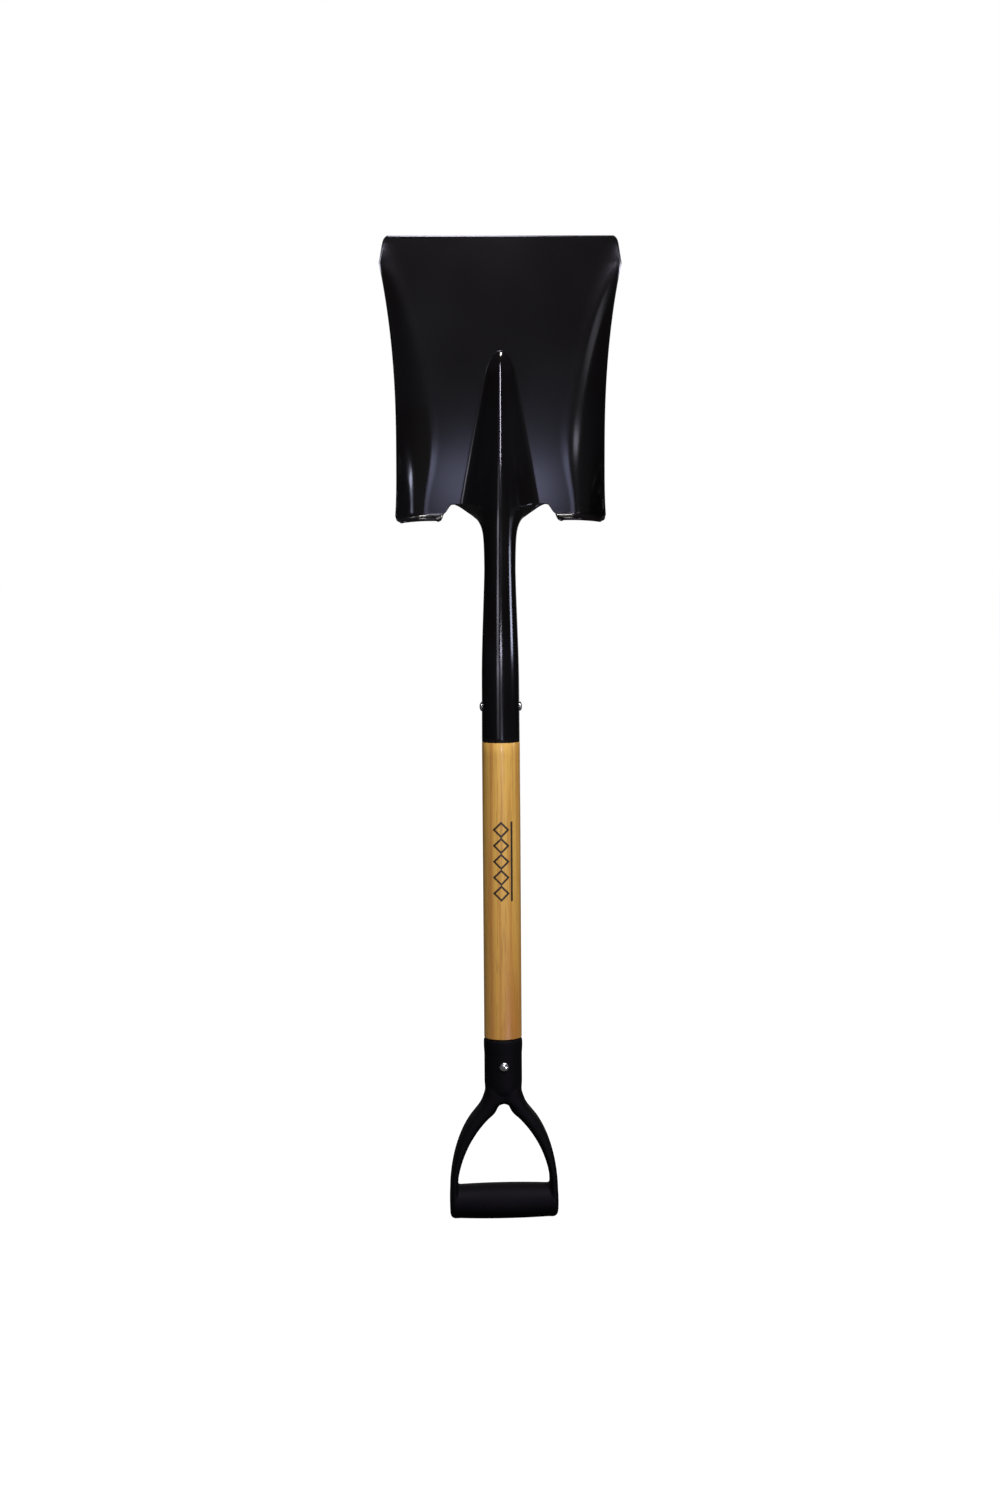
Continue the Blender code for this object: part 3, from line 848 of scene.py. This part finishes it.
@dataclass
class Shaft:
    """The wooden shaft with its tapered end in the socket and its tenon in the grip."""

    radius: float = 19.0
    mouth_r: float = 16.6
    tip_r: float = 12.6
    tenon_r: float = 14.0
    corner: float = 0.8
    corner_bulge: Point = (0.2, 0.25)
    tip_chamfer: float = 3.0
    tenon_chamfer: float = 2.0
    gap: float = 0.3
    rows: int = 24
    faces_round: int = 96
    crease: float = 35.0

    def build(self, finish: bpy.types.Material) -> None:
        """Make the shaft between the grip's collar and the socket, from the frame's own heights."""
        low, high = (corner.z / MM for corner in map(Vector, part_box("shaft")))
        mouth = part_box("shovel_head")[0][2] / MM - self.gap
        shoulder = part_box("d_grip")[1][2] / MM + self.gap
        bulge_in, bulge_down = self.corner_bulge
        profile = [(0.0, high), (self.tip_r - self.tip_chamfer, high)]
        profile += [(self.tip_r, high - self.tip_chamfer), (self.mouth_r, mouth)]
        profile.append((self.radius - self.corner, mouth))
        profile += [(self.radius - bulge_in, mouth - bulge_down), (self.radius, mouth - self.corner)]
        for i in range(1, self.rows):
            profile.append((self.radius, mix(mouth, shoulder, i / self.rows)))
        profile += [(self.radius, shoulder + self.corner), (self.radius - self.corner, shoulder)]
        profile += [(self.tenon_r, shoulder), (self.tenon_r, low + self.tenon_chamfer)]
        profile += [(self.tenon_r - self.tenon_chamfer, low), (0.0, low)]
        shaft = turned("wooden_shaft", profile, self.faces_round)
        hand_over(shaft, "shaft", finish, self.crease)


@dataclass
class DGrip:
    """The moulded grip: collar, two arms and a crowned hand bar, melted into one another."""

    half_width: float = 54.9
    depth: float = 17.5
    bar_r: float = 18.3
    bar_end_r: float = 17.2
    bar_half_length: float = 46.8
    cap_round: float = 5.5
    outer_centre_z: float = 9.5
    outer_semi_z: float = 99.8
    outer_angles: Point = (58.0, -5.0)
    inner_centre: Point = (-64.5, 7.1)
    inner_r: float = 112.3
    inner_angles: Point = (49.5, 0.0)
    arm_squareness: float = 0.75
    arm_inset: float = 0.4
    collar_top: float = 168.9
    collar_foot: tuple[Point, ...] = ((0.0, 124.0), (0.6, 115.0), (3.2, 109.0), (8.0, 105.6))
    collar_bottom: float = 104.4
    rim_r: float = 19.6
    rim_round: float = 1.2
    rim_height: float = 9.0
    waist_r: float = 19.1
    waist_drop: float = 16.0
    bore_r: float = 14.3
    bore_floor: float = 120.7
    faces_round: int = 128
    faces_arm: int = 96
    voxel: float = 0.9
    smoothing_rounds: int = 14
    crease: float = 80.0

    def collar(self) -> Piece:
        """Turn the collar with its bore, rim and rounded foot."""
        top = self.collar_top
        profile = [(0.0, self.bore_floor), (self.bore_r, self.bore_floor), (self.bore_r, top)]
        profile += [(self.rim_r - self.rim_round, top), (self.rim_r, top - self.rim_round)]
        profile += [(self.rim_r, top - self.rim_height), (self.waist_r, top - self.waist_drop)]
        profile += [(self.waist_r - inward, z) for inward, z in self.collar_foot]
        profile.append((0.0, self.collar_bottom))
        return turned("collar", profile, self.faces_round)

    def bar(self) -> Piece:
        """Turn the crowned bar with its rounded end caps."""
        steps, rows, crown_share = 8, 24, 0.98
        cap = []
        for i in range(steps + 1):
            angle = math.pi / 2.0 * i / steps
            radius = self.depth - self.cap_round * (1.0 - math.sin(angle))
            cap.append((radius, self.half_width - self.cap_round * (1.0 - math.cos(angle))))
        crown = []
        for i in range(rows + 1):
            t = mix(1.0, -1.0, i / rows)
            crown.append((mix(self.bar_r, self.bar_end_r, t * t), self.bar_half_length * crown_share * t))
        end = [(0.0, self.half_width)] + cap
        profile = end + crown + [(radius, -distance) for radius, distance in end[::-1]]
        return turned("bar", profile, self.faces_round, Axis.X)

    def arm_stations(self) -> list[tuple[Vector, Vector]]:
        """Give the outer and inner points of an arm from inside the collar to the bar's end."""
        shoulder = [((17.5, 120.0), (-8.0, 104.0))]
        shoulder += [((19.8, 110.5), (-3.0, 102.4)), ((23.6, 101.3), (4.0, 100.2))]
        pairs = [(Vector(outer), Vector(inner)) for outer, inner in shoulder]
        steps, bar_end_gap = 10, 0.2
        for i in range(steps + 1):
            psi = math.radians(mix(*self.outer_angles, i / steps))
            omega = math.radians(mix(*self.inner_angles, i / steps))
            outer_z = self.outer_centre_z + self.outer_semi_z * math.sin(psi)
            outer = Vector((self.half_width * math.cos(psi), outer_z))
            inner = Vector(self.inner_centre) + self.inner_r * Vector((math.cos(omega), math.sin(omega)))
            inner.x = min(inner.x, self.bar_half_length - bar_end_gap)
            pairs.append((outer, inner))
        return pairs

    def arm(self, side: float) -> Piece:
        """Form one arm with its rounded section."""
        outers, inners = (list(line) for line in zip(*self.arm_stations()))

        def shape(u: float, v: float) -> Vector:
            """Place a point u round the section and v along the arm."""
            outer, inner = spline(outers, v), spline(inners, v)
            middle, reach = (outer + inner) / 2.0, (outer - inner) / 2.0
            c, s = math.cos(2.0 * math.pi * u), math.sin(2.0 * math.pi * u)
            flat = middle + reach * math.copysign(abs(c) ** self.arm_squareness, c)
            depth = (self.depth - self.arm_inset) * math.copysign(abs(s) ** self.arm_squareness, s)
            return Vector((side * flat.x, depth, flat.y))

        arm = formed_sheet("arm", self.faces_round // 2, self.faces_arm, shape)
        tidy_mesh(arm, 10.0 * FINE_WELD)
        capped(arm)
        return arm

    def build(self, finish: bpy.types.Material) -> None:
        """Make the grip as one moulding, with small fillets where its members meet."""
        grip = joined("moulded_grip", [self.collar(), self.bar(), self.arm(-1.0), self.arm(1.0)])
        modified(grip, "REMESH", mode="VOXEL", voxel_size=self.voxel * MM)
        modified(grip, "SMOOTH", factor=0.5, iterations=self.smoothing_rounds)
        hand_over(grip, "d_grip", finish, self.crease)


@dataclass
class Rivets:
    """The two rivets through the shaft, and the burr under the tail of the grip's one."""

    shank_r: float = 2.4
    head_r: float = 4.7
    head_edge: float = 0.25
    head_height: float = 2.3
    tail_height: float = 2.0
    sink: float = 0.7
    washer_r: float = 6.4
    washer_edge: float = 0.3
    gap: float = 0.3
    faces_round: int = 64
    crease: float = 35.0

    def dome(self, face: float, height: float) -> list[Point]:
        """Give the profile of a dome whose top is height above its seat, from the top down."""
        steps = 12
        points = []
        for i in range(steps + 1):
            angle = math.pi / 2.0 * i / steps
            points.append((self.head_r * math.sin(angle), face + height * math.cos(angle)))
        points.append((self.head_r - self.head_edge, face - self.sink))
        points.append((self.shank_r, face - self.sink))
        return points

    def rivet(self, node: str, axis: Axis, finish: bpy.types.Material) -> None:
        """Make a rivet that fills its CAD node's box along an axis."""
        low, high = (Vector(corner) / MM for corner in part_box(node))
        place = "XYZ".index(axis.value)
        flip = -1.0 if axis is Axis.Y else 1.0
        ends = sorted((low[place] * flip, high[place] * flip))
        middle = (low + high) / 2.0
        top = self.dome(ends[1] - self.head_height, self.head_height)
        tail = self.dome(-ends[0] - self.tail_height, self.tail_height)
        profile = top + [(radius, -distance) for radius, distance in tail[::-1]]
        pin = turned(f"{node}_pin", profile, self.faces_round, axis, (0.0, middle.z))
        hand_over(pin, node, finish, self.crease)

    def washer(self, finish: bpy.types.Material) -> None:
        """Make the burr behind the collar."""
        low, high = (Vector(corner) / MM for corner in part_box("grip_rivet_washer"))
        near, far = -high.y, -low.y
        bore, rim, edge = self.shank_r + self.gap, self.washer_r, self.washer_edge
        profile = [(bore, far), (rim - edge, far), (rim, far - edge), (rim, near + edge)]
        profile += [(rim - edge, near), (bore, near), (bore, far)]
        ring = turned("rivet_burr", profile, self.faces_round, Axis.Y, (0.0, (low.z + high.z) / 2.0))
        hand_over(ring, "grip_rivet_washer", finish, self.crease)

    def build(self, finish: bpy.types.Material) -> None:
        """Make both rivets and the burr."""
        self.rivet("socket_rivet", Axis.X, finish)
        self.rivet("grip_rivet", Axis.Y, finish)
        self.washer(finish)


# Studio


@dataclass(frozen=True)
class Softbox:
    """A soft light hung at a place in metres and faced to a target.

    It lights the matt share of a surface, its gloss, or both.
    """

    name: str
    place: Place
    target: Place
    width: float
    height: float
    power: float
    colour: Colour
    on_matt: bool = True
    on_gloss: bool = True

    def hang(self) -> None:
        """Add the light, hidden from the camera itself."""
        data = bpy.data.lights.new(self.name, "AREA")
        data.shape = "RECTANGLE"
        data.size = self.width
        data.size_y = self.height
        data.energy = self.power
        data.color = self.colour
        light = bpy.data.objects.new(self.name, data)
        bpy.context.scene.collection.objects.link(light)
        light.visible_camera = False
        light.visible_diffuse = self.on_matt
        light.visible_glossy = self.on_gloss
        light.location = self.place
        away = Vector(self.place) - Vector(self.target)
        light.rotation_euler = away.to_track_quat("Z", "Y").to_euler()


def direction(bearing: float, rise: float) -> Vector:
    """Give the unit vector at a bearing from the front, positive to the right, and a rise."""
    a, e = math.radians(bearing), math.radians(rise)
    return Vector((math.sin(a) * math.cos(e), -math.cos(a) * math.cos(e), math.sin(e)))


@dataclass
class Studio:
    """The camera, the lights, the pale floor and the white surround."""

    bearing: float = -3.0
    rise: float = 5.7
    distance: float = 2.45
    roll: float = 0.4
    framed_height: float = 1.5
    aim: Place = (-0.001, 0.0, 0.4607)
    floor_gap: float = 0.0005
    floor_size: float = 40.0
    floor_colour: Colour = (0.07, 0.07, 0.075)
    white: Colour = (1.0, 1.0, 1.0)
    dim_colour: Colour = (0.75, 0.78, 0.9)
    dim_strength: float = 0.045

    def camera(self) -> None:
        """Set the camera, upright but for its slight roll."""
        data = bpy.data.cameras.new("camera")
        data.sensor_width = 36.0
        data.lens = data.sensor_width * self.distance / self.framed_height
        camera = bpy.data.objects.new("camera", data)
        bpy.context.scene.collection.objects.link(camera)
        away = direction(self.bearing, self.rise)
        right = Vector((0.0, 0.0, 1.0)).cross(away).normalized()
        up = away.cross(right)
        turn = math.radians(self.roll)
        level = right * math.cos(turn) - up * math.sin(turn)
        rise = up * math.cos(turn) + right * math.sin(turn)
        basis = Matrix((level, rise, away)).transposed().to_4x4()
        basis.translation = Vector(self.aim) + away * self.distance
        camera.matrix_world = basis
        bpy.context.scene.camera = camera

    def floor(self) -> None:
        """Lay the pale floor under the grip."""
        start_clean()
        level = CAD_BOX[0][2] - self.floor_gap
        bpy.ops.mesh.primitive_plane_add(size=self.floor_size, location=(0.0, 0.0, level))
        floor = bpy.context.active_object
        floor.name = "studio_floor"
        material = bpy.data.materials.new("pale_floor")
        material.use_nodes = True
        wiring = Wiring(material.node_tree)
        wiring.tree.nodes.clear()
        seen = wiring.add("ShaderNodeLightPath").outputs["Is Camera Ray"]
        matt = wiring.add("ShaderNodeBsdfDiffuse", {"Color": rgba(self.floor_colour)})
        glow = wiring.add("ShaderNodeEmission", {"Color": rgba(self.white), "Strength": seen})
        both = wiring.add("ShaderNodeAddShader", {0: matt.outputs[0], 1: glow.outputs[0]})
        wiring.add("ShaderNodeOutputMaterial", {"Surface": both.outputs[0]})
        floor.data.materials.append(material)

    def surround(self) -> None:
        """Make the surround white to the eye and dim to the object."""
        world = bpy.data.worlds.new("surround")
        world.use_nodes = True
        wiring = Wiring(world.node_tree)
        wiring.tree.nodes.clear()
        seen = wiring.add("ShaderNodeLightPath").outputs["Is Camera Ray"]
        sockets = {"Color": rgba(self.dim_colour), "Strength": self.dim_strength}
        dim = wiring.add("ShaderNodeBackground", sockets)
        white = wiring.add("ShaderNodeBackground", {"Color": rgba(self.white), "Strength": 1.0})
        both = wiring.add("ShaderNodeMixShader", {0: seen, 1: dim.outputs[0], 2: white.outputs[0]})
        wiring.add("ShaderNodeOutputWorld", {"Surface": both.outputs[0]})
        bpy.context.scene.world = world

    def lights(self) -> None:
        """Hang the lights: strips and panels for the gloss, a high key, a fill, and three at the rear."""
        warm = (1.0, 0.97, 0.93)
        boxes = [
            Softbox("pan_strip", (0.047, -0.90, 0.365), (0.0, 0.0, 0.72), 0.170, 0.060, 0.165,
                    (0.62, 0.64, 1.0), on_matt=False),
            Softbox("neck_strip", (0.48, -0.13, 0.565), (0.0, 0.0, 0.62), 0.12, 0.030, 0.21,
                    (0.72, 0.76, 1.0), on_matt=False),
            Softbox("crest_strip", (-0.20, -0.60, 0.53), (0.0, 0.0, 0.64), 0.12, 0.06, 0.12,
                    (0.84, 0.82, 1.0), on_matt=False),
            Softbox("crest_panel", (0.05, -2.30, 0.68), (0.0, 0.0, 0.75), 0.24, 0.27, 9.5,
                    (0.84, 0.80, 1.0), on_matt=False),
            Softbox("socket_panel", (-0.75, -2.17, 0.37), (0.0, 0.0, 0.60), 0.50, 0.22, 0.45,
                    (0.86, 0.86, 1.0), on_matt=False),
            Softbox("bar_panel", (0.24, -0.42, 0.02), (0.03, 0.0, 0.0), 0.20, 0.06, 0.50,
                    (0.78, 0.76, 1.0), on_matt=False),
            Softbox("high_key", (0.75, -1.9, 3.0), (0.0, 0.0, 0.4), 1.1, 0.8, 150.0, warm),
            Softbox("left_fill", (-2.2, -1.2, 2.0), (0.0, 0.0, 0.4), 1.2, 1.2, 20.0, warm, on_gloss=False),
            Softbox("rear_panel", (0.6, 2.5, 0.55), (0.0, 0.0, 0.5), 1.6, 0.9, 5.0, self.white),
            Softbox("rear_sheen", (-0.8, 2.3, 1.5), (0.0, 0.0, 0.6), 2.0, 1.4, 7.0,
                    (0.85, 0.87, 1.0), on_matt=False),
            Softbox("rear_fill", (-0.6, 2.2, 1.8), (0.0, 0.0, 0.4), 1.2, 0.9, 40.0,
                    (1.0, 0.98, 0.95), on_gloss=False),
        ]
        for box in boxes:
            box.hang()

    def build(self) -> None:
        """Set up the studio."""
        self.camera()
        self.floor()
        self.surround()
        self.lights()
        bpy.context.scene.view_settings.view_transform = "Standard"


def main() -> None:
    """Build the shovel and its studio in order."""
    logging.basicConfig(level=logging.INFO, format="%(message)s")
    ShovelHead().build(BlackLacquer().make())
    Shaft().build(LacqueredWood().make())
    DGrip().build(SatinPlastic().make())
    Rivets().build(BrightSteel().make())
    Studio().build()


if __name__ == "__main__":
    main()
